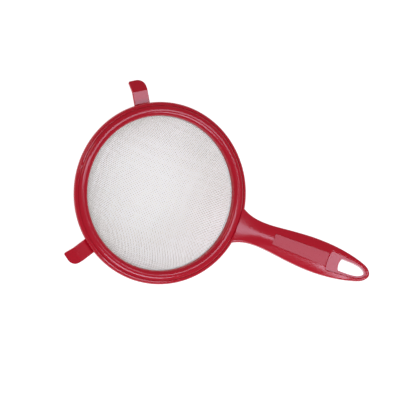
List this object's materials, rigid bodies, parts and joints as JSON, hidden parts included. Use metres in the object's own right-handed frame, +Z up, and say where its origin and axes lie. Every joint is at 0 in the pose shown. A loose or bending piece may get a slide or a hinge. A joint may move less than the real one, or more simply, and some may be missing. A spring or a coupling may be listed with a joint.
{
  "type": "hand sieve for flour",
  "caption": "Round kitchen sieve: pressed wire-cloth bowl clamped in a moulded rim, with a raised handle, a hang hole and pan hooks.",
  "frame": {"origin": "on the rim's axis, in the plane of the rim's underside, which rests on the edge of a pan or bowl", "axes": "+Z up out of the bowl's mouth, +X from the rim's centre towards the handle"},
  "size_m": [0.313, 0.1936, 0.096],
  "materials": {
    "red_plastic": "gloss",
    "wire_cloth": "bright drawn wire",
    "band_steel": "bright rolled strip"
  },
  "bodies": {
    "root": {"rim_frame": "red_plastic", "clamp_ring": "red_plastic", "mesh_bowl": "wire_cloth", "edge_band": "band_steel", "grip_plate": "red_plastic", "back_cover": "red_plastic"}
  },
  "joints": []
}
